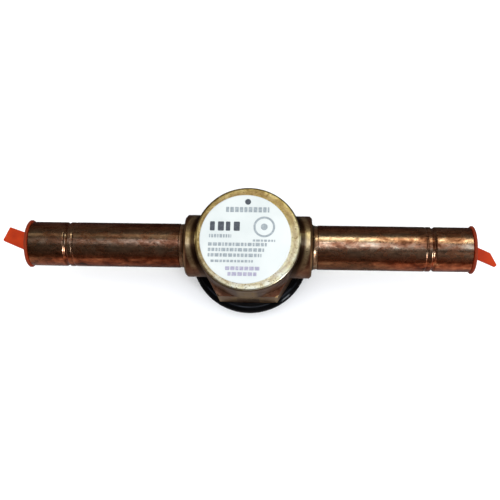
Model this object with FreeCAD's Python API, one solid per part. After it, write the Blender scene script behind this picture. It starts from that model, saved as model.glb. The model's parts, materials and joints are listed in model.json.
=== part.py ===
"""Moisture-indicator sight glass with long copper solder stubs, lying on its dust cap.

Frame: millimetres, +X along the stubs, +Z from the window towards the labelled back,
origin at the centre of the dust cap's flat bottom. Heights with the suffix _Z are
measured from the common axis of the two stubs, which lies AXIS_Z above the origin.
"""
import math
import os

import FreeCAD
import Part

# Common axis of the copper stubs above the bottom of the dust cap
AXIS_Z = 19.0

# Copper stubs with solder sockets for 12.7 mm (1/2 in) tube
TUBE_OUTER_R = 7.2
TUBE_INNER_R = 6.39
TUBE_START_X = 12.6
TUBE_END_X = 71.0
TUBE_SPIGOT_R = 7.0
TUBE_SHOULDER_X = 22.1
TUBE_SHOULDER = 0.2
STOP_X = 58.8
STOP_HALF_WIDTH = 0.85
STOP_DEPTH = 0.5
TRACE_X = 56.6
TRACE_HALF_WIDTH = 0.5
TRACE_DEPTH = 0.16
TUBE_EDGE = 0.25

# Brass body: round upper part, hexagon, round nose, two side bosses
FACE_Z = 10.2
FACE_R = 16.0
UPPER_R = 16.9
RIM_DROP = 0.9
HEX_TOP_Z = -0.3
HEX_BOTTOM_Z = -10.6
HEX_FLATS = 33.0
HEX_TOP_CHAMFER = 0.5
HEX_BOTTOM_CHAMFER_R = 16.8
HEX_BOTTOM_CHAMFER = 1.3
NOSE_R = 16.3
NOSE_BOTTOM_Z = -15.0
NOSE_CHAMFER = 0.6
BOSS_R = 10.1
BOSS_FACE_X = 20.3
BOSS_CHAMFER = 0.7
BOSS_BORE_R = 7.02
BOSS_BORE_START_X = 12.4
FLOW_BORE_R = 6.3
CHAMBER_R = 9.2
CHAMBER_TOP_Z = 6.6
SPRING_SEAT_Z = -6.6
INDICATOR_BORE_R = 11.2
SEAL_SEAT_Z = -10.4
WINDOW_BORE_R = 14.2

# Brazed fillets between stubs and bosses
BRAZE_FOOT_R = 7.75
BRAZE_END_X = 22.05
SLIVER = 0.02

# Back label
LABEL_R = 14.4
LABEL_THICKNESS = 0.15
LABEL_SHIFT_X = -0.75
LABEL_SHIFT_Y = -0.15

# Fused glass window in its steel ring, and its seal
RING_OUTER_R = 14.15
RING_BOTTOM_Z = -14.6
RING_TOP_Z = -11.2
RING_BEVEL_R = 11.6
RING_BEVEL = 0.9
RING_SLOT_WIDTH = 2.0
RING_SLOT_INNER_R = 12.6
RING_SLOT_DEPTH = 1.0
GLASS_R = 10.5
GLASS_BOTTOM_Z = -13.9
GLASS_TOP_Z = -11.0
SEAL_INNER_R = 11.6
SEAL_OUTER_R = 14.1

# Indicator stack behind the glass
COLOUR_INNER_R = 7.2
COLOUR_OUTER_R = 10.9
COLOUR_THICKNESS = 0.4
HOLDER_RING_INNER_R = 9.7
HOLDER_RING_OUTER_R = 10.95
HOLDER_BOTTOM_Z = -10.56
HOLDER_TOP_Z = -8.4
HOLDER_HUB_R = 4.4
HOLDER_HUB_TOP_Z = -8.7
HOLDER_POCKET_R = 3.5
HOLDER_POCKET_TOP_Z = -9.26
HOLDER_VENT_R = 1.6
HOLDER_SPOKE_WIDTH = 1.8
HOLDER_SPOKE_BOTTOM_Z = -10.0
HOLDER_SPOKE_TOP_Z = -8.9
DISC_R = 3.4
PAPER_BOTTOM_Z = -9.56
PAPER_TOP_Z = -9.28
SCREEN_BOTTOM_Z = -9.84
SCREEN_TOP_Z = -9.6
SCREEN_HOLE = 0.55
SCREEN_PITCH = 0.95
RETAINER_INNER_R = 2.7
RETAINER_OUTER_R = 3.45
RETAINER_BOTTOM_Z = -10.3
RETAINER_TOP_Z = -9.86

# Wave spring between the holder and the seat in the body
WAVE_INNER_R = 9.65
WAVE_OUTER_R = 10.7
WAVE_THICKNESS = 0.3
WAVE_BOTTOM_Z = -8.38
WAVE_TOP_Z = -6.62
WAVE_COUNT = 3
WAVE_POINTS = 36

# Push-on dust cap and its liner
CAP_R = 19.7
CAP_TOP_Z = -10.8
CAP_SHOULDER_R = 17.8
CAP_SHOULDER_DROP = 1.6
CAP_WALL_R = 18.8
CAP_BEAD_DROP = 1.6
CAP_FOOT_R = 18.2
CAP_BORE_R = 16.35
CAP_BORE_END_Z = -15.7
CAP_RECESS_R = 14.6
CAP_FLOOR_Z = -17.6
CAP_FOOT = 0.8
LINER_R = 14.3
LINER_THICKNESS = 0.8

# Shipping plugs
PLUG_FLANGE_R = 7.75
PLUG_FLANGE_START_X = 71.05
PLUG_FLANGE_END_X = 71.95
PLUG_FLANGE_EDGE = 0.28
PLUG_DISH_R = 5.7
PLUG_DISH_DEPTH = 0.3
PLUG_SPIGOT_R = 6.33
PLUG_SPIGOT_START_X = 60.6
PLUG_TAPER_LENGTH = 3.0
PLUG_TIP_R = 5.9
PLUG_HOLLOW_R = 5.2
LEFT_TAB = ((0.0, -3.2), (9.4, 0.8), (7.5, 5.5), (0.0, 2.8))
RIGHT_TAB = ((0.0, -1.8), (5.6, 1.0), (7.5, 5.0), (6.8, 5.6), (0.0, 2.3))
PLUG_TAB_THICKNESS = 1.1
PLUG_TAB_ROUND = 0.4
PLUG_TAB_EDGE = 0.22

X_AXIS = FreeCAD.Vector(1, 0, 0)
Z_AXIS = FreeCAD.Vector(0, 0, 1)
ORIGIN = FreeCAD.Vector(0, 0, 0)


def height(z):
    """Height above the origin of a level measured from the stub axis."""
    return AXIS_Z + z


def lathe_z(profile):
    """Solid of revolution about the vertical axis from (radius, level) points."""
    points = [FreeCAD.Vector(r, 0, height(z)) for r, z in profile]
    face = Part.Face(Part.makePolygon(points + [points[0]]))
    return face.revolve(ORIGIN, Z_AXIS, 360)


def lathe_x(profile):
    """Solid of revolution about the stub axis from (radius, x) points."""
    points = [FreeCAD.Vector(x, 0, height(r)) for r, x in profile]
    face = Part.Face(Part.makePolygon(points + [points[0]]))
    return face.revolve(FreeCAD.Vector(0, 0, AXIS_Z), X_AXIS, 360)


def disc(radius, low, high, x=0.0, y=0.0):
    """Upright cylinder between two levels."""
    return Part.makeCylinder(radius, high - low, FreeCAD.Vector(x, y, height(low)), Z_AXIS)


def rod_x(radius, start, end):
    """Cylinder along the stub axis."""
    return Part.makeCylinder(radius, end - start, FreeCAD.Vector(start, 0, AXIS_Z), X_AXIS)


def arc_points(centre, radius, start_deg, end_deg, steps):
    """Points of an arc in a (radius, position) profile."""
    points = []
    for step in range(steps + 1):
        angle = math.radians(start_deg + (end_deg - start_deg) * step / steps)
        points.append((centre[0] + radius * math.cos(angle), centre[1] + radius * math.sin(angle)))
    return points


def turned(shape):
    """The same piece on the opposite side: half a turn about the vertical axis."""
    copy = shape.copy()
    copy.rotate(ORIGIN, Z_AXIS, 180)
    return copy


def hexagon_prism(flats, low, high):
    """Hexagonal prism with two flats facing +Y and -Y."""
    corner_r = flats / 2 / math.cos(math.pi / 6)
    points = []
    for index in range(7):
        angle = math.radians(60 * index)
        points.append(FreeCAD.Vector(corner_r * math.cos(angle), corner_r * math.sin(angle), height(low)))
    return Part.Face(Part.makePolygon(points)).extrude(FreeCAD.Vector(0, 0, high - low))


def make_body():
    """Forged and turned brass body with its chamber, window seat and stub bores."""
    rim = arc_points((FACE_R, FACE_Z - RIM_DROP), RIM_DROP, 90, 0, 6)
    upper = lathe_z([(0, FACE_Z)] + rim + [(UPPER_R, HEX_TOP_Z - 1), (0, HEX_TOP_Z - 1)])
    hexagon = hexagon_prism(HEX_FLATS, HEX_BOTTOM_Z, HEX_TOP_Z)
    corner_r = HEX_FLATS / 2 / math.cos(math.pi / 6)
    corner_limit = lathe_z([
        (0, HEX_TOP_Z + 0.01),
        (corner_r - HEX_TOP_CHAMFER, HEX_TOP_Z + 0.01),
        (corner_r + 0.1, HEX_TOP_Z - HEX_TOP_CHAMFER),
        (corner_r + 0.1, HEX_BOTTOM_Z + HEX_BOTTOM_CHAMFER),
        (HEX_BOTTOM_CHAMFER_R, HEX_BOTTOM_Z - 0.01),
        (0, HEX_BOTTOM_Z - 0.01),
    ])
    hexagon = hexagon.common(corner_limit)
    nose = lathe_z([
        (0, HEX_BOTTOM_Z + 1),
        (NOSE_R, HEX_BOTTOM_Z + 1),
        (NOSE_R, NOSE_BOTTOM_Z + NOSE_CHAMFER),
        (NOSE_R - NOSE_CHAMFER, NOSE_BOTTOM_Z),
        (0, NOSE_BOTTOM_Z),
    ])
    boss = lathe_x([
        (0, 0),
        (BOSS_R, 0),
        (BOSS_R, BOSS_FACE_X - BOSS_CHAMFER),
        (BOSS_R - BOSS_CHAMFER, BOSS_FACE_X),
        (0, BOSS_FACE_X),
    ])
    blank = upper.fuse([hexagon, nose, boss, turned(boss)])
    chamber = lathe_z([
        (0, CHAMBER_TOP_Z),
        (CHAMBER_R, CHAMBER_TOP_Z),
        (CHAMBER_R, SPRING_SEAT_Z),
        (INDICATOR_BORE_R, SPRING_SEAT_Z),
        (INDICATOR_BORE_R, SEAL_SEAT_Z),
        (WINDOW_BORE_R, SEAL_SEAT_Z),
        (WINDOW_BORE_R, NOSE_BOTTOM_Z - 1),
        (0, NOSE_BOTTOM_Z - 1),
    ])
    flow_bore = rod_x(FLOW_BORE_R, -BOSS_BORE_START_X, BOSS_BORE_START_X)
    stub_bore = rod_x(BOSS_BORE_R, BOSS_BORE_START_X, BOSS_FACE_X + 1)
    return blank.cut([chamber, flow_bore, stub_bore, turned(stub_bore)]).removeSplitter()


def dip_points(radius, centre, half_width, depth):
    """Rounded groove in a (radius, x) profile, from its inner edge to its outer edge."""
    points = []
    for step in range(13):
        share = step / 12
        drop = depth * (1 - math.cos(2 * math.pi * share)) / 2
        points.append((radius - drop, centre - half_width + 2 * half_width * share))
    return points


def make_tube():
    """Right-hand copper stub with the rolled stop that ends its solder socket."""
    stop_outside = dip_points(TUBE_OUTER_R, STOP_X, STOP_HALF_WIDTH, STOP_DEPTH)
    stop_inside = dip_points(TUBE_INNER_R, STOP_X, STOP_HALF_WIDTH, STOP_DEPTH)
    trace = dip_points(TUBE_OUTER_R, TRACE_X, TRACE_HALF_WIDTH, TRACE_DEPTH)
    outside = [
        (TUBE_SPIGOT_R, TUBE_START_X),
        (TUBE_SPIGOT_R, TUBE_SHOULDER_X),
        (TUBE_OUTER_R, TUBE_SHOULDER_X + TUBE_SHOULDER),
    ]
    outside += trace + stop_outside
    outside += [(TUBE_OUTER_R, TUBE_END_X - TUBE_EDGE), (TUBE_OUTER_R - TUBE_EDGE, TUBE_END_X)]
    inside = [(TUBE_INNER_R + TUBE_EDGE, TUBE_END_X), (TUBE_INNER_R, TUBE_END_X - TUBE_EDGE)]
    inside += list(reversed(stop_inside)) + [(TUBE_INNER_R, TUBE_START_X)]
    return lathe_x(outside + inside)


def make_braze():
    """Concave fillet of brazing metal where the right-hand stub enters its boss."""
    start = BOSS_FACE_X + SLIVER
    inner = TUBE_SPIGOT_R + SLIVER
    points = []
    for step in range(9):
        angle = math.radians(90 * step / 8)
        points.append((
            BRAZE_FOOT_R - (BRAZE_FOOT_R - inner) * math.sin(angle),
            BRAZE_END_X - (BRAZE_END_X - start - 0.15) * math.cos(angle),
        ))
    return lathe_x([(inner, start), (BRAZE_FOOT_R, start)] + points)


def make_window_ring():
    """Nickel-plated steel ring that the window is fused into, with two spanner slots."""
    ring = lathe_z([
        (GLASS_R, RING_TOP_Z),
        (RING_OUTER_R, RING_TOP_Z),
        (RING_OUTER_R, RING_BOTTOM_Z),
        (RING_BEVEL_R, RING_BOTTOM_Z),
        (GLASS_R, RING_BOTTOM_Z + RING_BEVEL),
    ])
    length = RING_OUTER_R - RING_SLOT_INNER_R + 1
    corner = FreeCAD.Vector(RING_SLOT_INNER_R, -RING_SLOT_WIDTH / 2, height(RING_BOTTOM_Z) - 1)
    slot = Part.makeBox(length, RING_SLOT_WIDTH, RING_SLOT_DEPTH + 1, corner)
    return ring.cut([slot, turned(slot)])


def make_holder():
    """Moulded spider that carries the indicator in the middle of the window."""
    ring = lathe_z([
        (HOLDER_RING_INNER_R, HOLDER_TOP_Z),
        (HOLDER_RING_OUTER_R, HOLDER_TOP_Z),
        (HOLDER_RING_OUTER_R, HOLDER_BOTTOM_Z),
        (HOLDER_RING_INNER_R, HOLDER_BOTTOM_Z),
    ])
    hub = disc(HOLDER_HUB_R, HOLDER_BOTTOM_Z, HOLDER_HUB_TOP_Z)
    spokes = []
    for index in range(3):
        corner = FreeCAD.Vector(HOLDER_POCKET_R + 0.3, -HOLDER_SPOKE_WIDTH / 2, height(HOLDER_SPOKE_BOTTOM_Z))
        length = HOLDER_RING_INNER_R + 0.5 - HOLDER_POCKET_R - 0.3
        spoke = Part.makeBox(length, HOLDER_SPOKE_WIDTH, HOLDER_SPOKE_TOP_Z - HOLDER_SPOKE_BOTTOM_Z, corner)
        spoke.rotate(ORIGIN, Z_AXIS, 90 + 120 * index)
        spokes.append(spoke)
    spider = ring.fuse([hub] + spokes)
    pocket = disc(HOLDER_POCKET_R, HOLDER_BOTTOM_Z - 1, HOLDER_POCKET_TOP_Z)
    vent = disc(HOLDER_VENT_R, HOLDER_BOTTOM_Z - 1, HOLDER_HUB_TOP_Z + 1)
    return spider.cut([pocket, vent]).removeSplitter()


def make_screen():
    """Perforated protective disc in front of the indicator paper."""
    holes = []
    for column in range(-2, 3):
        for row in range(-2, 3):
            x = column * SCREEN_PITCH
            y = row * SCREEN_PITCH
            if math.hypot(x, y) > RETAINER_INNER_R - SCREEN_HOLE:
                continue
            corner = FreeCAD.Vector(x - SCREEN_HOLE / 2, y - SCREEN_HOLE / 2, height(SCREEN_BOTTOM_Z) - 1)
            holes.append(Part.makeBox(SCREEN_HOLE, SCREEN_HOLE, 3, corner))
    return disc(DISC_R, SCREEN_BOTTOM_Z, SCREEN_TOP_Z).cut(holes)


def make_wave_spring():
    """Closed wave washer with three crests."""
    middle = (WAVE_BOTTOM_Z + WAVE_TOP_Z) / 2
    swing = (WAVE_TOP_Z - WAVE_BOTTOM_Z - WAVE_THICKNESS) / 2

    def wavy_edge(radius, offset):
        points = []
        for index in range(WAVE_POINTS):
            angle = 2 * math.pi * index / WAVE_POINTS
            level = middle + swing * math.cos(WAVE_COUNT * angle) + offset
            points.append(FreeCAD.Vector(radius * math.cos(angle), radius * math.sin(angle), height(level)))
        curve = Part.BSplineCurve()
        curve.interpolate(Points=points, PeriodicFlag=True)
        return curve.toShape()

    half = WAVE_THICKNESS / 2
    inner_top = wavy_edge(WAVE_INNER_R, half)
    outer_top = wavy_edge(WAVE_OUTER_R, half)
    inner_bottom = wavy_edge(WAVE_INNER_R, -half)
    outer_bottom = wavy_edge(WAVE_OUTER_R, -half)
    faces = [
        Part.makeRuledSurface(inner_top, outer_top),
        Part.makeRuledSurface(inner_bottom, outer_bottom),
        Part.makeRuledSurface(inner_bottom, inner_top),
        Part.makeRuledSurface(outer_bottom, outer_top),
    ]
    shell = Part.Shell(faces)
    shell.sewShape()
    spring = Part.Solid(shell)
    if spring.Volume < 0:
        spring.reverse()
    return spring


def make_cap():
    """Push-on dust cap: thick rounded bead at its mouth, tapered wall and recessed floor."""
    shoulder_width = CAP_R - CAP_SHOULDER_R
    shoulder = []
    for step in range(9):
        angle = math.radians(90 - 90 * step / 8)
        shoulder.append((
            CAP_SHOULDER_R + shoulder_width * math.cos(angle),
            CAP_TOP_Z - CAP_SHOULDER_DROP + CAP_SHOULDER_DROP * math.sin(angle),
        ))
    bead = []
    for step in range(1, 9):
        angle = math.radians(90 * step / 8)
        bead.append((
            CAP_WALL_R + (CAP_R - CAP_WALL_R) * math.cos(angle),
            CAP_TOP_Z - CAP_SHOULDER_DROP - CAP_BEAD_DROP * math.sin(angle),
        ))
    foot = arc_points((CAP_FOOT_R - CAP_FOOT, -AXIS_Z + CAP_FOOT), CAP_FOOT, 0, -90, 5)
    inside = [
        (0, -AXIS_Z),
        (0, CAP_FLOOR_Z),
        (CAP_RECESS_R, CAP_FLOOR_Z),
        (CAP_RECESS_R, CAP_BORE_END_Z),
        (CAP_BORE_R, CAP_BORE_END_Z),
        (CAP_BORE_R, CAP_TOP_Z - 0.3),
        (CAP_BORE_R + 0.3, CAP_TOP_Z),
    ]
    return lathe_z(shoulder + bead + foot + inside)


def make_plug(tab_outline):
    """Right-hand shipping plug: flanged hollow spigot with a slanted pull tab."""
    plug = lathe_x([
        (0, PLUG_FLANGE_START_X),
        (PLUG_HOLLOW_R, PLUG_FLANGE_START_X),
        (PLUG_HOLLOW_R, PLUG_SPIGOT_START_X),
        (PLUG_TIP_R, PLUG_SPIGOT_START_X),
        (PLUG_SPIGOT_R, PLUG_SPIGOT_START_X + PLUG_TAPER_LENGTH),
        (PLUG_SPIGOT_R, PLUG_FLANGE_START_X),
        (PLUG_FLANGE_R - PLUG_FLANGE_EDGE, PLUG_FLANGE_START_X),
        (PLUG_FLANGE_R, PLUG_FLANGE_START_X + PLUG_FLANGE_EDGE),
        (PLUG_FLANGE_R, PLUG_FLANGE_END_X - PLUG_FLANGE_EDGE),
        (PLUG_FLANGE_R - PLUG_FLANGE_EDGE, PLUG_FLANGE_END_X),
        (PLUG_DISH_R, PLUG_FLANGE_END_X),
        (PLUG_DISH_R - PLUG_DISH_DEPTH, PLUG_FLANGE_END_X - PLUG_DISH_DEPTH),
        (0, PLUG_FLANGE_END_X - PLUG_DISH_DEPTH),
    ])
    low = AXIS_Z - PLUG_TAB_THICKNESS / 2
    start = PLUG_FLANGE_END_X - PLUG_DISH_DEPTH - 0.2
    points = []
    for out, side in tab_outline:
        reach = start if out == 0 else PLUG_FLANGE_END_X + out
        points.append(FreeCAD.Vector(reach, -side, low))
    tab = Part.Face(Part.makePolygon(points + [points[0]])).extrude(FreeCAD.Vector(0, 0, PLUG_TAB_THICKNESS))
    tip_edges = []
    for edge in tab.Edges:
        upright = abs(edge.BoundBox.ZLength - PLUG_TAB_THICKNESS) < 1e-6
        if upright and edge.BoundBox.XMin > PLUG_FLANGE_END_X + 1:
            tip_edges.append(edge)
    tab = tab.makeFillet(PLUG_TAB_ROUND, tip_edges)
    rim_edges = []
    for edge in tab.Edges:
        level = edge.BoundBox.ZLength < 1e-6
        if level and edge.BoundBox.XMax > PLUG_FLANGE_END_X:
            rim_edges.append(edge)
    tab = tab.makeChamfer(PLUG_TAB_EDGE, rim_edges)
    return plug.fuse(tab)


def ring_z(inner, outer, low, high):
    """Flat ring between two levels."""
    return lathe_z([(inner, high), (outer, high), (outer, low), (inner, low)])


tube = make_tube()
braze = make_braze()
nodes = {
    "body": make_body(),
    "tube_right": tube,
    "tube_left": turned(tube),
    "braze_right": braze,
    "braze_left": turned(braze),
    "plug_right": make_plug(RIGHT_TAB),
    "plug_left": turned(make_plug(LEFT_TAB)),
    "label_disc": disc(LABEL_R, FACE_Z, FACE_Z + LABEL_THICKNESS, LABEL_SHIFT_X, LABEL_SHIFT_Y),
    "window_ring": make_window_ring(),
    "window_glass": disc(GLASS_R - SLIVER, GLASS_BOTTOM_Z, GLASS_TOP_Z),
    "window_seal": ring_z(SEAL_INNER_R, SEAL_OUTER_R, RING_TOP_Z, SEAL_SEAT_Z),
    "colour_ring": ring_z(COLOUR_INNER_R, COLOUR_OUTER_R, GLASS_TOP_Z + SLIVER,
                          GLASS_TOP_Z + SLIVER + COLOUR_THICKNESS),
    "indicator_holder": make_holder(),
    "indicator_paper": disc(DISC_R, PAPER_BOTTOM_Z, PAPER_TOP_Z),
    "indicator_screen": make_screen(),
    "indicator_retainer": ring_z(RETAINER_INNER_R, RETAINER_OUTER_R, RETAINER_BOTTOM_Z, RETAINER_TOP_Z),
    "wave_spring": make_wave_spring(),
    "dust_cap": make_cap(),
    "cap_liner": disc(LINER_R, CAP_FLOOR_Z, CAP_FLOOR_Z + LINER_THICKNESS),
}

os.makedirs("parts", exist_ok=True)
for name, shape in nodes.items():
    solid = shape.Solids[0] if len(shape.Solids) == 1 else shape
    solid.exportStep("parts/" + name + ".step")
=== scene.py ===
import json
import math
import random

import bmesh
import bpy
from mathutils import Matrix, Vector

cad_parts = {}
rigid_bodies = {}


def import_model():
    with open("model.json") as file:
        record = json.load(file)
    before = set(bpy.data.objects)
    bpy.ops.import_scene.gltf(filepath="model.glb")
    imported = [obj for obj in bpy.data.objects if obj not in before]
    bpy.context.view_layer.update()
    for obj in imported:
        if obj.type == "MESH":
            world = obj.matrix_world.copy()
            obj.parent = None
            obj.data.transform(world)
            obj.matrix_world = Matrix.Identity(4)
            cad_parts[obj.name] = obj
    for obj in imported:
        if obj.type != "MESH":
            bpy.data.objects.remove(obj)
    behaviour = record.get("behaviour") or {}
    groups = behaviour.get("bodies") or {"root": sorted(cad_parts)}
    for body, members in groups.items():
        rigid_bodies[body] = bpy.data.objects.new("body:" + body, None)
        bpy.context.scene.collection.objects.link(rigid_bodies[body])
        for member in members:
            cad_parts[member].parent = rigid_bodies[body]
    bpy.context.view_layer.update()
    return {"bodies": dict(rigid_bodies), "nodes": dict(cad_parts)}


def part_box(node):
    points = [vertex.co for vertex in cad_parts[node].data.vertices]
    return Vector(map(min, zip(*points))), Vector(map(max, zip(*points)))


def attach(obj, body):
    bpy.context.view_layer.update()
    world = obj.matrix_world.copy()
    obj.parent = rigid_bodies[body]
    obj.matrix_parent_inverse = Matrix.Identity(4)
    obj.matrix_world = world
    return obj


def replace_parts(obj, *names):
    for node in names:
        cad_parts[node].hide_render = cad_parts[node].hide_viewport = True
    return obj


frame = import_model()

# A moisture-indicator sight glass with two solder stubs. It lies on its dust cap, with the label
# side up, on a pale floor. Lengths are in metres unless a name or a comment says millimetres.

MM = 0.001
NODES = frame["nodes"]
BODIES = frame["bodies"]
STUB_LOW, STUB_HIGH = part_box("tube_left")
AXIS = Vector((0, 0, (STUB_LOW.z + STUB_HIGH.z) / 2))
LABEL_LOW, LABEL_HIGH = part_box("label_disc")
LABEL_CENTRE = (LABEL_LOW + LABEL_HIGH) / 2
LABEL_RADIUS = (LABEL_HIGH.x - LABEL_LOW.x) / 2


# ---------------------------------------------------------------- node helpers

# The colour sockets of a Mix node: its inputs A and B, and its result.
MIX_A, MIX_B, MIX_RESULT = 6, 7, 2


def fill_ramp(color_ramp, stops):
    """Sets the stops of a colour ramp. A stop's value is a grey or a colour."""
    elements = color_ramp.elements
    while len(elements) < len(stops):
        elements.new(0.5)
    for element, (position, colour) in zip(elements, stops):
        element.position = position
        grey = isinstance(colour, (int, float))
        element.color = (colour, colour, colour, 1) if grey else (*colour, 1)


class Paint:
    """A node material with a Principled shader and short names for the nodes it uses."""

    def __init__(self, name, **shader_values):
        self.material = bpy.data.materials.new(name)
        self.material.use_nodes = True
        self.tree = self.material.node_tree
        self.shader = self.tree.nodes["Principled BSDF"]
        for socket, value in shader_values.items():
            self.shader.inputs[socket.replace("_", " ")].default_value = value
        self.coords = self.node("ShaderNodeTexCoord").outputs["Object"]

    def node(self, kind, **settings):
        """A new node with its settings."""
        made = self.tree.nodes.new(kind)
        for key, value in settings.items():
            setattr(made, key, value)
        return made

    def feed(self, socket, value):
        """Links a socket to an output, or sets it to a plain value."""
        if isinstance(value, bpy.types.NodeSocket):
            self.tree.links.new(value, socket)
        else:
            socket.default_value = value

    def stretched(self, x, y, z, shift=(0.0, 0.0, 0.0)):
        """Object coordinates scaled along each axis, then shifted."""
        mapping = self.node("ShaderNodeMapping")
        self.feed(mapping.inputs["Vector"], self.coords)
        mapping.inputs["Scale"].default_value = (x, y, z)
        mapping.inputs["Location"].default_value = shift
        return mapping.outputs["Vector"]

    def noise(self, scale, detail, roughness, distortion=0.0, vector=None):
        """Fractal noise, 0 to 1."""
        made = self.node("ShaderNodeTexNoise")
        self.feed(made.inputs["Vector"], vector or self.coords)
        made.inputs["Scale"].default_value = scale
        made.inputs["Detail"].default_value = detail
        made.inputs["Roughness"].default_value = roughness
        made.inputs["Distortion"].default_value = distortion
        return made.outputs["Fac"]

    def rings(self, scale, distortion):
        """Concentric turning marks about the vertical axis."""
        made = self.node("ShaderNodeTexWave", wave_type="RINGS", rings_direction="Z")
        self.feed(made.inputs["Vector"], self.coords)
        made.inputs["Scale"].default_value = scale
        made.inputs["Distortion"].default_value = distortion
        made.inputs["Detail"].default_value = 2.0
        made.inputs["Detail Scale"].default_value = 3.0
        return made.outputs["Fac"]

    def ramp(self, value, *stops, interpolation="LINEAR"):
        """A value looked up in stops of (position, grey or colour)."""
        made = self.node("ShaderNodeValToRGB")
        self.feed(made.inputs["Fac"], value)
        made.color_ramp.interpolation = interpolation
        fill_ramp(made.color_ramp, stops)
        return made.outputs["Color"]

    def mix(self, factor, low, high, blend="MIX"):
        """Blends from low to high by the factor."""
        made = self.node("ShaderNodeMix", data_type="RGBA", blend_type=blend)
        self.feed(made.inputs["Factor"], factor)
        for socket, value in ((made.inputs[MIX_A], low), (made.inputs[MIX_B], high)):
            self.feed(socket, (*value, 1) if isinstance(value, tuple) else value)
        return made.outputs[MIX_RESULT]

    def maths(self, operation, first, second=0.0, third=0.0):
        """One arithmetic operation."""
        made = self.node("ShaderNodeMath", operation=operation)
        for socket, value in zip(made.inputs, (first, second, third)):
            self.feed(socket, value)
        return made.outputs[0]

    def axis(self, name):
        """One object coordinate."""
        split = self.node("ShaderNodeSeparateXYZ")
        self.feed(split.inputs[0], self.coords)
        return split.outputs[name]

    def share(self, value, start, span):
        """How far a value has come along a span: 0 at the start, 1 at start + span."""
        return self.maths("MULTIPLY_ADD", value, 1 / span, -start / span)

    def reach(self, across=(1.0, 1.0, 0.0), through=(0.0, 0.0, 0.0)):
        """Distance from the line through a point; across holds 0 along the line and 1 across it."""
        flat = self.node("ShaderNodeVectorMath", operation="MULTIPLY_ADD")
        self.feed(flat.inputs[0], self.coords)
        flat.inputs[1].default_value = across
        flat.inputs[2].default_value = tuple(-keep * at for keep, at in zip(across, through))
        length = self.node("ShaderNodeVectorMath", operation="LENGTH")
        self.feed(length.inputs[0], flat.outputs[0])
        return length.outputs["Value"]

    def edges(self, low, high):
        """Worn convex edges, from the mesh's pointiness."""
        pointiness = self.node("ShaderNodeNewGeometry").outputs["Pointiness"]
        return self.ramp(pointiness, (low, 0.0), (high, 1.0))

    def bump(self, value, strength, distance_mm, normal=None):
        """A relief of the value, on top of an earlier relief if there is one."""
        made = self.node("ShaderNodeBump")
        made.inputs["Strength"].default_value = strength
        made.inputs["Distance"].default_value = distance_mm * MM
        self.feed(made.inputs["Height"], value)
        if normal is not None:
            self.feed(made.inputs["Normal"], normal)
        return made.outputs["Normal"]

    def finish(self, colour, roughness=None, normal=None):
        """Joins colour, roughness and relief to the shader."""
        self.feed(self.shader.inputs["Base Color"], colour)
        if roughness is not None:
            self.feed(self.shader.inputs["Roughness"], roughness)
        if normal is not None:
            self.feed(self.shader.inputs["Normal"], normal)
        return self.material


# ------------------------------------------------------------------- materials

def copper(name, node, shift_x, brightness):
    """Drawn copper tube: reddish stained sides, a paler top painted as a highlight, fine lengthwise draw
    lines.
    """
    paint = Paint(name, Metallic=1.0)
    place = paint.stretched(0.6, 1.0, 1.0, shift=(shift_x, shift_x * 0.7, 0.0))
    drawn = paint.noise(1500, 4, 0.6, vector=paint.stretched(0.03, 1.0, 1.0))
    mottle = paint.noise(330, 7, 0.66, 0.35, vector=place)
    grain = paint.noise(1100, 3, 0.6, vector=paint.stretched(0.45, 1.0, 1.0))
    blotch = paint.noise(90, 4, 0.55, 0.5, vector=place)
    broad = paint.noise(38, 3, 0.5, 0.3, vector=place)
    specks = paint.noise(1900, 3, 0.7, vector=place)
    # Painted highlight: these paler colours go on the top of the stub, where the light falls.
    painted_highlight_top = paint.ramp(
        mottle,
        (0.30, (0.18, 0.060, 0.026)),
        (0.42, (0.44, 0.19, 0.100)),
        (0.52, (0.65, 0.38, 0.23)),
        (0.64, (0.84, 0.61, 0.41)),
        (0.78, (0.96, 0.82, 0.60)),
    )
    sides = paint.ramp(
        mottle,
        (0.30, (0.08, 0.014, 0.004)),
        (0.44, (0.29, 0.058, 0.020)),
        (0.58, (0.58, 0.150, 0.060)),
        (0.74, (0.86, 0.350, 0.160)),
    )
    low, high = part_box(node)
    middle, radius = (low.z + high.z) / 2, (high.z - low.z) / 2
    # Height on the stub, roughened by the blotches; towards the top the paler colours of the painted
    # highlight take over.
    lift = paint.maths("ADD", paint.share(paint.axis("Z"), middle, radius), -0.175)
    lift = paint.maths("MULTIPLY_ADD", blotch, 0.35, lift)
    colour = paint.mix(paint.ramp(lift, (0.66, 0.0), (0.93, 1.0)), sides, painted_highlight_top)
    green = paint.ramp(broad, (0.52, 0.0), (0.66, 0.42))
    colour = paint.mix(green, colour, (0.26, 0.18, 0.09))
    dark = paint.ramp(specks, (0.32, 0.80), (0.42, 0.0))
    colour = paint.mix(dark, colour, (0.05, 0.022, 0.012))
    # brightness scales the whole colour; below 1 it paints shade over the whole stub.
    streaks = paint.ramp(drawn, (0.35, 0.80 * brightness), (0.65, 1.10 * brightness))
    colour = paint.mix(1.0, colour, streaks, "MULTIPLY")
    grain_tone = paint.ramp(grain, (0.34, 0.66), (0.50, 1.0), (0.66, 1.22))
    colour = paint.mix(1.0, colour, grain_tone, "MULTIPLY")
    roughness = paint.ramp(mottle, (0.3, 0.38), (0.5, 0.24), (0.75, 0.17))
    normal = paint.bump(drawn, 0.20, 0.012)
    normal = paint.bump(mottle, 0.22, 0.05, normal)
    normal = paint.bump(grain, 0.30, 0.02, normal)
    normal = paint.bump(blotch, 0.18, 0.10, normal)
    return paint.finish(colour, roughness, normal)


FACE_RADIUS = 16 * MM
FACE_DEPTH = 0.30 * MM


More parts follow.
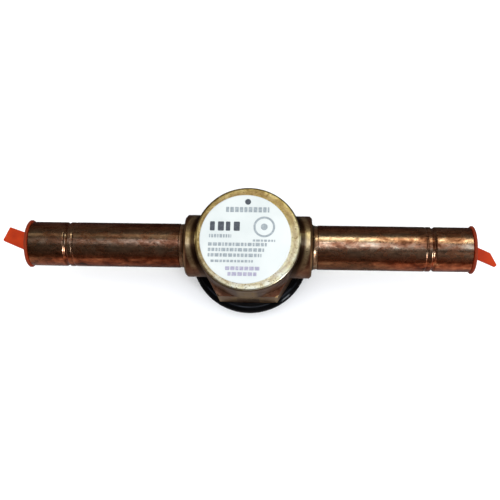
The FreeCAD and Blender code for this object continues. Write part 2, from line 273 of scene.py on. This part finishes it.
def brass(name):
    """Forged and turned brass: turned face with a painted highlight, dark stained skin below it with painted
    shade near the body, worn edges, painted highlights on the bosses' tops.
    """
    paint = Paint(name, Metallic=1.0)
    mottle = paint.noise(300, 7, 0.64, 0.6)
    blotch = paint.noise(80, 4, 0.55, 0.4)
    pits = paint.noise(1500, 4, 0.7)
    level = paint.axis("Z")
    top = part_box("body")[1].z
    on_face = paint.maths("GREATER_THAN", level, top - FACE_DEPTH)
    skin = paint.ramp(
        mottle,
        (0.30, (0.060, 0.026, 0.012)),
        (0.44, (0.18, 0.085, 0.042)),
        (0.56, (0.36, 0.20, 0.11)),
        (0.68, (0.60, 0.39, 0.19)),
        (0.80, (0.82, 0.62, 0.32)),
    )
    green = paint.ramp(blotch, (0.44, 0.0), (0.62, 0.65))
    skin = paint.mix(green, skin, (0.14, 0.105, 0.056))
    worn = paint.edges(0.51, 0.58)
    skin = paint.mix(worn, skin, (0.66, 0.46, 0.20))
    # dull is the face where it is away from the light; bright is its painted highlight.
    dull = paint.ramp(
        mottle,
        (0.30, (0.30, 0.18, 0.050)),
        (0.50, (0.64, 0.45, 0.155)),
        (0.70, (0.96, 0.76, 0.36)),
    )
    bright = paint.ramp(
        mottle,
        (0.30, (0.80, 0.62, 0.32)),
        (0.46, (1.0, 0.91, 0.58)),
        (0.62, (1.0, 0.96, 0.76)),
    )
    # Painted highlight: the turned face is painted brightest at the viewer's side and to the right.
    face_highlight_share = paint.maths("MULTIPLY_ADD", paint.axis("X"), 0.45 / (34 * MM), 0.5)
    face_highlight_share = paint.maths("MULTIPLY_ADD", paint.axis("Y"), -1 / (34 * MM), face_highlight_share)
    face = paint.mix(paint.ramp(face_highlight_share, (0.35, 0.0), (0.92, 1.0)), dull, bright)
    # A reddish ring next to the label.
    inner = paint.maths("MULTIPLY_ADD", mottle, 0.20, paint.share(paint.reach(), 0.0, 20 * MM))
    inner = paint.ramp(inner, (0.80, 0.0), (0.84, 0.55), (0.90, 0.0))
    face = paint.mix(inner, face, (0.42, 0.25, 0.12))
    pitted = paint.ramp(pits, (0.35, 0.8), (0.43, 0.0))
    face = paint.mix(pitted, face, (0.26, 0.14, 0.045))
    colour = paint.mix(on_face, skin, face)
    # Outside the face: a dark band next to the body, partly dark oxide in the corner and partly painted
    # shade, brass reddened by the brazing heat, and painted highlights on the bosses' tops.
    corner = paint.maths("MULTIPLY_ADD", blotch, 0.12, paint.share(paint.reach(), FACE_RADIUS, 6 * MM))
    # Darker on the bosses' inner halves and on the wall just under the face's edge: dark oxide and painted
    # shade.
    oxide_and_painted_shade = paint.ramp(
        corner, (0.0, 0.0), (0.14, 0.0), (0.20, 0.94), (0.36, 0.86), (0.50, 0.12), (0.62, 0.0))
    heated = paint.ramp(corner, (0.10, 0.0), (0.30, 0.85), (0.60, 0.60), (0.75, 0.90))
    heated = paint.mix(0.7, heated, mottle, "MULTIPLY")
    colour = paint.mix(heated, colour, (0.25, 0.078, 0.038))
    # Painted highlight: bright brass on the outer half of each boss, only on its top.
    boss_top_painted_highlight = paint.ramp(corner, (0.36, 0.0), (0.52, 1.0), (0.66, 0.85), (0.76, 0.0))
    boss_top_painted_highlight = paint.mix(0.8, boss_top_painted_highlight, paint.ramp(mottle, (0.40, 0.15), (0.60, 1.0)), "MULTIPLY")
    # Height above the stubs' axis, which keeps the painted highlight on the bosses' tops.
    painted_highlight_top = paint.share(level, AXIS.z, 20 * MM)
    boss_top_painted_highlight = paint.mix(1.0, boss_top_painted_highlight, paint.ramp(painted_highlight_top, (0.22, 0.0), (0.40, 1.0)), "MULTIPLY")
    colour = paint.mix(boss_top_painted_highlight, colour, (0.92, 0.68, 0.36))
    beside = paint.share(paint.maths("ABSOLUTE", paint.axis("Y")), 0.0, 20 * MM)
    on_boss = paint.ramp(beside, (0.47, 1.0), (0.56, 0.10))
    # The wall just under the face's edge is darkened as well: painted shade.
    lip = paint.ramp(paint.share(level, top - 3 * MM, 4 * MM), (0.25, 0.0), (0.62, 0.75))
    oxide_and_painted_shade = paint.mix(1.0, oxide_and_painted_shade, paint.mix(1.0, on_boss, lip, "LIGHTEN"), "MULTIPLY")
    colour = paint.mix(oxide_and_painted_shade, colour, (0.045, 0.024, 0.012))
    skin_roughness = paint.ramp(mottle, (0.3, 0.46), (0.5, 0.34), (0.75, 0.24))
    face_roughness = paint.ramp(pits, (0.3, 0.42), (0.7, 0.28))
    roughness = paint.mix(on_face, skin_roughness, face_roughness)
    inside = paint.ramp(corner, (0.16, 1.0), (0.22, 0.0))
    turned = paint.mix(inside, (0.5, 0.5, 0.5), paint.rings(700, 0.8))
    normal = paint.bump(turned, 0.20, 0.03)
    normal = paint.bump(pits, 0.45, 0.03, normal)
    normal = paint.bump(mottle, 0.50, 0.08, normal)
    return paint.finish(colour, roughness, normal)


FLUX_AND_SHADE_START = 20.2 * MM


def braze(name):
    """Rippled fillet of brazing metal, darkened next to the boss by a fluxed seam and by painted shade in the
    crease.
    """
    paint = Paint(name, Metallic=1.0)
    ripples = paint.noise(420, 4, 0.6, 0.8)
    colour = paint.ramp(
        ripples,
        (0.3, (0.22, 0.085, 0.04)),
        (0.52, (0.55, 0.29, 0.16)),
        (0.7, (0.88, 0.68, 0.44)),
    )
    # Darker next to the boss face: partly a fluxed seam, partly painted shade in the crease between fillet
    # and boss.
    outward = paint.share(paint.maths("ABSOLUTE", paint.axis("X")), FLUX_AND_SHADE_START, 2 * MM)
    outward = paint.maths("MULTIPLY_ADD", ripples, 0.3, outward)
    flux_and_crease_shade = paint.ramp(outward, (0.20, 0.95), (0.45, 0.80), (0.66, 0.0))
    colour = paint.mix(flux_and_crease_shade, colour, (0.060, 0.036, 0.016))
    roughness = paint.ramp(ripples, (0.3, 0.45), (0.7, 0.22))
    return paint.finish(colour, roughness, paint.bump(ripples, 0.6, 0.12))


FLANGE_RADIUS = 8 * MM


def plug_plastic(name):
    """Soft polyethylene: waxy mottle, scuffed, with painted shade darkening the flange towards its outer
    edge.
    """
    paint = Paint(name, Subsurface_Weight=0.10, Subsurface_Scale=0.001, IOR=1.45, Specular_IOR_Level=0.16)
    paint.shader.inputs["Subsurface Radius"].default_value = (1.0, 0.20, 0.03)
    mottle = paint.noise(260, 4, 0.5)
    scuffs = paint.noise(700, 5, 0.7, vector=paint.stretched(1.0, 0.25, 1.0))
    colour = paint.ramp(mottle, (0.3, (0.29, 0.017, 0.0)), (0.7, (0.40, 0.030, 0.0)))
    colour = paint.mix(paint.ramp(scuffs, (0.62, 0.0), (0.78, 0.30)), colour, (0.55, 0.085, 0.010))
    # Painted shade: the flange is darkened towards its outer edge.
    outward = paint.share(paint.reach(across=(0.0, 1.0, 1.0), through=AXIS), 0.0, FLANGE_RADIUS)
    outward = paint.maths("MULTIPLY_ADD", scuffs, 0.05, outward)
    flange_edge_shade = paint.ramp(outward, (0.86, 0.0), (0.93, 0.50), (1.0, 0.72))
    colour = paint.mix(flange_edge_shade, colour, (0.075, 0.016, 0.006))
    roughness = paint.ramp(scuffs, (0.3, 0.34), (0.7, 0.50))
    return paint.finish(colour, roughness, paint.bump(mottle, 0.2, 0.05))


def cap_plastic(name):
    """Glossy black moulded plastic with fine handling scratches and dust."""
    paint = Paint(name, IOR=1.33, Specular_IOR_Level=0.34)
    swirl = paint.noise(60, 5, 0.6, 1.4)
    scratches = paint.noise(2200, 2, 0.5, vector=paint.stretched(0.06, 1.0, 0.5))
    dust = paint.noise(3200, 2, 0.6)
    colour = paint.ramp(swirl, (0.3, (0.0012, 0.0012, 0.0014)), (0.7, (0.0028, 0.0028, 0.0032)))
    colour = paint.mix(paint.ramp(dust, (0.72, 0.0), (0.80, 0.12)), colour, (0.06, 0.06, 0.06))
    roughness = paint.ramp(scratches, (0.4, 0.055), (0.72, 0.16))
    normal = paint.bump(scratches, 0.05, 0.02)
    normal = paint.bump(swirl, 0.06, 0.2, normal)
    return paint.finish(colour, roughness, normal)


def vinyl(name):
    """White printed label stock."""
    paint = Paint(name, IOR=1.5, Coat_Weight=0.25, Coat_Roughness=0.18)
    fibre = paint.noise(900, 4, 0.6)
    cloud = paint.noise(90, 3, 0.5)
    colour = paint.ramp(cloud, (0.3, (0.500, 0.535, 0.530)), (0.7, (0.575, 0.600, 0.592)))
    colour = paint.mix(paint.ramp(fibre, (0.60, 0.0), (0.80, 0.2)), colour, (0.45, 0.50, 0.54))
    roughness = paint.ramp(cloud, (0.3, 0.38), (0.7, 0.48))
    return paint.finish(colour, roughness, paint.bump(fibre, 0.10, 0.02))


def ink(name, colour_low, colour_high):
    """Screen-printed ink with slightly uneven cover."""
    paint = Paint(name, IOR=1.45)
    cover = paint.noise(1400, 4, 0.65)
    colour = paint.ramp(cover, (0.35, colour_low), (0.70, colour_high))
    roughness = paint.ramp(cover, (0.3, 0.40), (0.7, 0.55))
    return paint.finish(colour, roughness, paint.bump(cover, 0.15, 0.01))


def plated(name, tint, roughness_low, roughness_high):
    """Plated or rolled metal with a fine even grain."""
    paint = Paint(name, Metallic=1.0)
    grain = paint.noise(500, 5, 0.6, vector=paint.stretched(1.0, 1.0, 0.3))
    smudge = paint.noise(80, 3, 0.5)
    colour = paint.ramp(grain, (0.3, tuple(0.82 * part for part in tint)), (0.7, tint))
    roughness = paint.ramp(smudge, (0.3, roughness_low), (0.7, roughness_high))
    return paint.finish(colour, roughness, paint.bump(grain, 0.2, 0.02))


def glass(name):
    """Fused window with a very slight green tint."""
    paint = Paint(name, IOR=1.5, Transmission_Weight=1.0)
    cord_lines = paint.noise(70, 2, 0.4)
    colour = paint.ramp(cord_lines, (0.3, (0.90, 0.96, 0.93)), (0.7, (0.94, 0.98, 0.96)))
    roughness = paint.ramp(cord_lines, (0.3, 0.015), (0.7, 0.03))
    return paint.finish(colour, roughness, paint.bump(cord_lines, 0.03, 0.1))


def soft(name, low, high, scale, roughness_low, roughness_high, bump_mm=0.04):
    """Matt moulded, printed or fibrous material."""
    paint = Paint(name, IOR=1.45)
    grain = paint.noise(scale, 5, 0.6)
    colour = paint.ramp(grain, (0.3, low), (0.7, high))
    roughness = paint.ramp(grain, (0.3, roughness_low), (0.7, roughness_high))
    return paint.finish(colour, roughness, paint.bump(grain, 0.4, bump_mm))


def colour_reference(name):
    """Printed ring: green, yellow and neutral sectors around the window axis."""
    paint = Paint(name, IOR=1.45)
    angle = paint.maths("ARCTAN2", paint.axis("Y"), paint.axis("X"))
    turn = paint.maths("MULTIPLY_ADD", angle, 0.5 / math.pi, 0.5)
    neutral = (0.70, 0.70, 0.66)
    sectors = paint.ramp(
        turn,
        (0.00, neutral),
        (0.10, (0.10, 0.42, 0.20)),
        (0.36, neutral),
        (0.40, (0.45, 0.55, 0.12)),
        (0.60, neutral),
        (0.64, (0.80, 0.66, 0.08)),
        (0.90, neutral),
        interpolation="CONSTANT",
    )
    fibre = paint.noise(1200, 4, 0.6)
    colour = paint.mix(paint.ramp(fibre, (0.5, 0.0), (0.8, 0.3)), sectors, (0.85, 0.85, 0.80))
    roughness = paint.ramp(fibre, (0.3, 0.5), (0.7, 0.65))
    return paint.finish(colour, roughness, paint.bump(fibre, 0.2, 0.02))


def dress(node, material):
    """Gives a CAD node its material."""
    slots = NODES[node].material_slots
    if not slots:
        NODES[node].data.materials.append(material)
    for index in range(len(slots)):
        slots[index].material = material


ORANGE = plug_plastic("plug_polyethylene")
NICKEL = plated("nickel_plate", (0.72, 0.70, 0.64), 0.18, 0.30)
STEEL = plated("rolled_stainless", (0.60, 0.60, 0.60), 0.22, 0.36)
BRAZE = braze("brazing_metal")
WHITE_VINYL = vinyl("label_vinyl")
for node_name, node_material in {
    "body": brass("forged_brass"),
    # The left stub's copy is painted a tenth darker than the right one: painted shade.
    "tube_left": copper("copper_left", "tube_left", 0.13, 0.9),
    "tube_right": copper("copper_right", "tube_right", 0.41, 1.0),
    "braze_left": BRAZE,
    "braze_right": BRAZE,
    "plug_left": ORANGE,
    "plug_right": ORANGE,
    "label_disc": WHITE_VINYL,
    "window_ring": NICKEL,
    "window_glass": glass("window_glass_clear"),
    "window_seal": soft("seal_fluoropolymer", (0.72, 0.72, 0.68), (0.84, 0.84, 0.80), 400, 0.40, 0.55),
    "colour_ring": colour_reference("colour_reference_print"),
    "indicator_holder": soft("holder_nylon", (0.74, 0.73, 0.68), (0.84, 0.83, 0.78), 350, 0.35, 0.50),
    "indicator_paper": soft("indicator_fibre", (0.04, 0.30, 0.13), (0.10, 0.46, 0.22), 1500, 0.75, 0.9, 0.08),
    "indicator_screen": STEEL,
    "indicator_retainer": NICKEL,
    "wave_spring": STEEL,
    "dust_cap": cap_plastic("cap_black"),
    "cap_liner": soft("liner_foam", (0.66, 0.65, 0.60), (0.80, 0.79, 0.74), 1800, 0.8, 0.95, 0.12),
}.items():
    dress(node_name, node_material)


# ------------------------------------------------------------------ the label

def mesh_object(name, bm, material, smooth=False):
    """Turns a bmesh into an object of the scene."""
    mesh = bpy.data.meshes.new(name)
    bm.to_mesh(mesh)
    bm.free()
    for polygon in mesh.polygons:
        polygon.use_smooth = smooth
    mesh.materials.append(material)
    made = bpy.data.objects.new(name, mesh)
    bpy.context.scene.collection.objects.link(made)
    return made


def label_piece(name, bm, material, smooth=False):
    """A piece that rides with the fitting, with the material it is given."""
    piece = mesh_object(name, bm, material, smooth)
    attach(piece, "fitting")
    return piece


# The sheet lies this far below the top of the label's box, which leaves room for the ink.
INK_RELIEF = 0.035 * MM
# Ink starts a little inside the sheet and ends just below the top of the box.
INK_LOW = LABEL_HIGH.z - INK_RELIEF - 0.02 * MM
INK_HIGH = LABEL_HIGH.z - 0.002 * MM
SHEET_WAVE = 0.006 * MM
SHEET_EDGE_START = 0.94


def label_sheet():
    """Thin vinyl disc with a rolled edge, slightly uneven where it was pressed down."""
    rings, steps = 26, 144
    rng = random.Random(7)
    waves = [(rng.uniform(2, 5), rng.uniform(0, math.tau), rng.uniform(0.5, 1.0)) for _ in range(4)]
    bm = bmesh.new()
    base = LABEL_LOW.z
    top = LABEL_HIGH.z - INK_RELIEF
    loops = []
    for ring in range(1, rings + 1):
        share = ring / rings
        radius = LABEL_RADIUS * min(1.0, share * 1.02)
        loop = []
        for step in range(steps):
            angle = math.tau * step / steps
            lift = sum(size * math.sin(count * angle + phase + 5 * share) for count, phase, size in waves)
            rolled = max(0.0, (share - SHEET_EDGE_START) / (1 - SHEET_EDGE_START))
            fall = 0.5 * (top - base) * rolled ** 2
            z = top - SHEET_WAVE * (1 + 0.3 * lift) - fall
            x = LABEL_CENTRE.x + radius * math.cos(angle)
            y = LABEL_CENTRE.y + radius * math.sin(angle)
            loop.append(bm.verts.new((x, y, z)))
        loops.append(loop)
    skirt = [bm.verts.new((v.co.x, v.co.y, base)) for v in loops[-1]]
    centre = bm.verts.new((LABEL_CENTRE.x, LABEL_CENTRE.y, top - SHEET_WAVE))
    under = bm.verts.new((LABEL_CENTRE.x, LABEL_CENTRE.y, base))
    for step in range(steps):
        after = (step + 1) % steps
        bm.faces.new((centre, loops[0][step], loops[0][after]))
        for inner, outer in zip(loops, loops[1:]):
            bm.faces.new((inner[step], outer[step], outer[after], inner[after]))
        bm.faces.new((loops[-1][step], skirt[step], skirt[after], loops[-1][after]))
        bm.faces.new((under, skirt[after], skirt[step]))
    return bm


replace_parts(label_piece("label_sheet", label_sheet(), WHITE_VINYL, smooth=True), "label_disc")


# The printing functions take millimetres from the label's centre.

def print_outline(bm, outline):
    """A low flat block of ink with the given outline."""
    corners = [(LABEL_CENTRE.x + x * MM, LABEL_CENTRE.y + y * MM) for x, y in outline]
    bottom = [bm.verts.new((x, y, INK_LOW)) for x, y in corners]
    top = [bm.verts.new((x, y, INK_HIGH)) for x, y in corners]
    bm.faces.new(top)
    bm.faces.new(list(reversed(bottom)))
    for index in range(len(outline)):
        after = (index + 1) % len(outline)
        bm.faces.new((bottom[index], bottom[after], top[after], top[index]))


def print_dot(bm, x, y, radius, steps=24):
    """A round dot of ink."""
    angles = [math.tau * step / steps for step in range(steps)]
    print_outline(bm, [(x + radius * math.cos(angle), y + radius * math.sin(angle)) for angle in angles])


def print_patch(bm, x, y, width, depth, corner):
    """A rounded patch of ink, centred at x, y."""
    corner = min(corner, width / 2, depth / 2)
    outline = []
    for index, (side_x, side_y) in enumerate(((1, 1), (-1, 1), (-1, -1), (1, -1))):
        for step in range(4):
            angle = math.radians(90 * index + 30 * step)
            outline.append((
                x + side_x * (width / 2 - corner) + corner * math.cos(angle),
                y + side_y * (depth / 2 - corner) + corner * math.sin(angle),
            ))
    print_outline(bm, outline)


DASH_CORNER = 0.1
NARROWEST_DASH = 0.15


def print_row(bm, rng, x_from, x_to, y, depth, shortest, longest, gap=0.3):
    """A row of plain dashes, standing in for a line of small print."""
    x = x_from
    while x < x_to:
        width = min(rng.uniform(shortest, longest), x_to - x)
        if width > NARROWEST_DASH:
            print_patch(bm, x + width / 2, y, width, depth, DASH_CORNER)
        x += width + gap


def print_ring(bm, x, y, outer, inner, steps=40):
    """A plain ring of ink."""
    bands = []
    for radius, z in ((outer, INK_LOW), (outer, INK_HIGH), (inner, INK_HIGH), (inner, INK_LOW)):
        band = []
        for step in range(steps):
            angle = math.tau * step / steps
            band.append(bm.verts.new((
                LABEL_CENTRE.x + (x + radius * math.cos(angle)) * MM,
                LABEL_CENTRE.y + (y + radius * math.sin(angle)) * MM, z)))
        bands.append(band)
    for first, second in zip(bands, bands[1:] + bands[:1]):
        for step in range(steps):
            after = (step + 1) % steps
            bm.faces.new((first[step], first[after], second[after], second[step]))


def print_dark(bm):
    """The dot at the top and the four blocks in place of the large lettering."""
    print_dot(bm, 0.6, 12.1, 0.95)
    for x_from, width in ((-11.2, 1.5), (-8.7, 1.9), (-6.2, 1.4), (-3.7, 1.9)):
        print_patch(bm, x_from + width / 2, 4.0, width, 3.0, 0.25)


def print_grey(bm, rng):
    """Lines of small print, and a ring with a dot in place of the certification mark."""
    print_row(bm, rng, -6.3, 7.4, 9.5, 1.7, 0.9, 1.3, 0.35)
    print_row(bm, rng, -11.4, -4.4, 0.8, 1.1, 0.4, 0.9)
    for row in range(3):
        print_row(bm, rng, -11.6, 6.8 - 0.8 * row, -1.9 - 1.75 * row, 1.1, 0.5, 1.4, 0.32)
    print_row(bm, rng, -10.6, 2.6, -7.3, 0.8, 0.4, 1.2)
    print_ring(bm, 5.9, 3.9, 3.4, 2.75)
    print_patch(bm, 5.9, 3.9, 2.2, 2.2, 1.1)
    print_row(bm, rng, 2.4, 9.4, -0.6, 0.7, 0.5, 1.2)


def print_violet(bm, rng):
    """The two coloured lines at the bottom."""
    print_row(bm, rng, -6.0, 4.8, -9.6, 1.2, 0.6, 1.5)
    print_row(bm, rng, -5.2, 4.0, -11.4, 1.2, 0.6, 1.5)


def print_label():
    """All the ink, in three colours."""
    rng = random.Random(21)
    dark, grey, violet = bmesh.new(), bmesh.new(), bmesh.new()
    print_dark(dark)
    print_grey(grey, rng)
    print_violet(violet, rng)
    label_piece("label_ink_dark", dark, ink("ink_dark", (0.035, 0.042, 0.055), (0.075, 0.085, 0.105)))
    label_piece("label_ink_grey", grey, ink("ink_grey", (0.20, 0.23, 0.25), (0.32, 0.36, 0.38)))
    label_piece("label_ink_violet", violet, ink("ink_violet", (0.25, 0.24, 0.33), (0.38, 0.365, 0.45)))


print_label()


# ------------------------------------------------------------- floor and light

FLOOR_HALF_WIDTH = 6.0


def stage_floor():
    """Wide pale floor, darker in reflections than it is to the camera.

    It stays under the dust cap, so that the fitting lifts off its cap. In reflections it is palest
    under the object and beyond its sides, so that the undersides of the stubs carry a dim band.
    """
    paint = Paint("floor_pale", Specular_IOR_Level=0.1, Roughness=0.8)
    cloud = paint.noise(3, 2, 0.5)
    colour = paint.ramp(cloud, (0.3, (0.88, 0.88, 0.88)), (0.7, (0.92, 0.92, 0.92)))
    depth = paint.share(paint.axis("Y"), -0.4, 0.5)
    across = paint.share(paint.maths("ABSOLUTE", paint.axis("X")), 0.0, 0.2)
    mirrored = paint.ramp(
        depth, (0.10, 0.10), (0.35, 0.28), (0.52, 0.34), (0.72, 0.30), (0.775, 0.24), (0.80, 0.04))
    sideways = paint.ramp(across, (0.08, 0.85), (0.14, 0.45), (0.22, 0.62), (0.36, 1.0))
    mirrored = paint.mix(1.0, mirrored, sideways, "MULTIPLY")
    glossy = paint.node("ShaderNodeLightPath").outputs["Is Glossy Ray"]
    colour = paint.mix(glossy, colour, mirrored)
    bm = bmesh.new()
    bmesh.ops.create_grid(bm, x_segments=1, y_segments=1, size=FLOOR_HALF_WIDTH)
    floor = mesh_object("stage_floor", bm, paint.finish(colour))
    floor.parent = BODIES["cap"]


stage_floor()


def area_light(name, azimuth, elevation, distance, width, depth, watts, shift_x, colour):
    """Area light aimed at the fitting, then moved sideways by shift_x.

    Azimuth 0 is the viewer's side and 180 is behind the fitting.
    """
    a, e = math.radians(azimuth), math.radians(elevation)
    away = Vector((math.sin(a) * math.cos(e), -math.cos(a) * math.cos(e), math.sin(e)))
    data = bpy.data.lights.new(name, "AREA")
    data.shape = "RECTANGLE"
    data.size, data.size_y = width, depth
    data.energy = watts
    data.color = colour
    lamp = bpy.data.objects.new(name, data)
    bpy.context.scene.collection.objects.link(lamp)
    lamp.location = AXIS + away * distance + Vector((shift_x, 0, 0))
    lamp.rotation_mode = "QUATERNION"
    lamp.rotation_quaternion = away.to_track_quat("Z", "Y")


# Low strips behind the fitting draw the narrow upper highlight along each stub.
area_light("strip_right", 180, 57, 1.1, 0.55, 0.30, 1.62, 0.30, (0.96, 1.04, 0.88))
area_light("strip_left", 180, 57, 1.1, 0.50, 0.30, 0.13, -0.30, (1.0, 0.86, 0.64))
# Overhead panels light the label and the turned face and draw the broad highlight of the crowns.
area_light("overhead_right", 180, 89.5, 1.1, 0.27, 0.52, 0.80, 0.035, (0.84, 0.93, 1.12))
area_light("overhead_far_right", 180, 89.5, 1.1, 0.60, 0.52, 0.66, 0.36, (0.80, 0.94, 1.18))
area_light("overhead_left", 180, 89, 1.1, 0.23, 0.36, 0.26, -0.165, (0.84, 0.92, 1.22))
area_light("overhead_far_left", 180, 89, 1.1, 0.42, 0.30, 0.085, -0.49, (0.95, 0.93, 1.0))
# A low window at the right front makes the streak on the glossy cap.
area_light("window_low", 49, 27, 0.8, 0.14, 0.30, 2.2, 0.0, (0.86, 0.93, 1.0))
# A small panel brightens the viewer's side of the turned face.
area_light("rim_fill", 180, 75, 1.1, 0.14, 0.16, 0.10, 0.02, (1.0, 0.97, 0.86))


ROOM_WHITE = (1.0, 1.0, 1.0, 1)
ROOM_STRENGTH = 1.36


def room():
    """White room: bright for what it lights and for the backdrop, dim and warm in reflections."""
    world = bpy.data.worlds.new("room")
    bpy.context.scene.world = world
    world.use_nodes = True
    tree = world.node_tree
    background = tree.nodes["Background"]
    path = tree.nodes.new("ShaderNodeLightPath")
    coords = tree.nodes.new("ShaderNodeTexCoord")
    split = tree.nodes.new("ShaderNodeSeparateXYZ")
    tree.links.new(coords.outputs["Generated"], split.inputs[0])
    ramp = tree.nodes.new("ShaderNodeValToRGB")
    tree.links.new(split.outputs["Z"], ramp.inputs["Fac"])
    fill_ramp(ramp.color_ramp, (
        (0.0, (0.050, 0.027, 0.015)),
        (0.30, (0.026, 0.013, 0.007)),
        (0.70, (0.014, 0.007, 0.004)),
        (1.0, (0.012, 0.007, 0.004)),
    ))
    mix = tree.nodes.new("ShaderNodeMix")
    mix.data_type = "RGBA"
    tree.links.new(path.outputs["Is Glossy Ray"], mix.inputs["Factor"])
    mix.inputs[MIX_A].default_value = ROOM_WHITE
    tree.links.new(ramp.outputs["Color"], mix.inputs[MIX_B])
    tree.links.new(mix.outputs[MIX_RESULT], background.inputs["Color"])
    background.inputs["Strength"].default_value = ROOM_STRENGTH


room()
bpy.context.scene.view_settings.view_transform = "Standard"


# ---------------------------------------------------------------------- camera

CAMERA_AZIMUTH = math.radians(9.66)
CAMERA_ELEVATION = math.radians(75.1)
CAMERA_ROLL = math.radians(-8.49)
CAMERA_DISTANCE = 0.2485
CAMERA_LENS = 54.89
# Sideways and upward shift of the camera in its own image plane.
CAMERA_OFFSET = (0.36 * MM, -1.08 * MM)


def make_camera():
    """Camera above the viewer's side, aimed at the stubs' axis and rolled slightly."""
    away = Vector((
        math.sin(CAMERA_AZIMUTH) * math.cos(CAMERA_ELEVATION),
        -math.cos(CAMERA_AZIMUTH) * math.cos(CAMERA_ELEVATION),
        math.sin(CAMERA_ELEVATION),
    ))
    level = Vector((math.cos(CAMERA_AZIMUTH), math.sin(CAMERA_AZIMUTH), 0))
    upright = away.cross(level)
    right = math.cos(CAMERA_ROLL) * level + math.sin(CAMERA_ROLL) * upright
    up = math.cos(CAMERA_ROLL) * upright - math.sin(CAMERA_ROLL) * level
    data = bpy.data.cameras.new("camera")
    data.lens = CAMERA_LENS
    data.sensor_width = 36.0
    data.clip_start = 0.01
    data.clip_end = 50.0
    camera = bpy.data.objects.new("camera", data)
    bpy.context.scene.collection.objects.link(camera)
    place = AXIS + away * CAMERA_DISTANCE + right * CAMERA_OFFSET[0] + up * CAMERA_OFFSET[1]
    turn = Matrix((right, up, away)).transposed().to_4x4()
    camera.matrix_world = Matrix.Translation(place) @ turn
    bpy.context.scene.camera = camera


make_camera()
